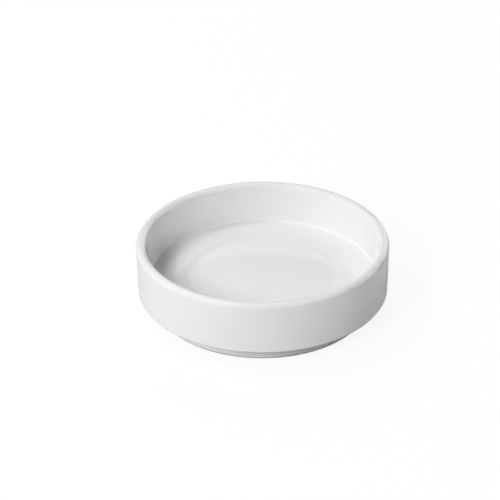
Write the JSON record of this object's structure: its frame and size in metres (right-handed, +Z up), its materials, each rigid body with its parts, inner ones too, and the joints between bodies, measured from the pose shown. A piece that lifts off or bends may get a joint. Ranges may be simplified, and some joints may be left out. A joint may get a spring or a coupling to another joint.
{
  "type": "butter pat dish",
  "caption": "Round straight-sided white porcelain butter pat dish with a full-round rim, a flat coved well, a stacking shoulder and a bare foot ring.",
  "frame": {"origin": "on the table, under the middle of the foot ring", "axes": "+Z up along the axis of the round dish; +X and +Y are level and interchangeable"},
  "size_m": [0.09, 0.09, 0.026],
  "materials": {
    "bare_porcelain": "fired porcelain without glaze, fine matt grain",
    "white_glaze": "clear glossy glaze over white porcelain"
  },
  "bodies": {
    "root": {"porcelain_body": "bare_porcelain", "glaze_coat": "white_glaze", "base_glaze": "white_glaze"}
  },
  "joints": []
}
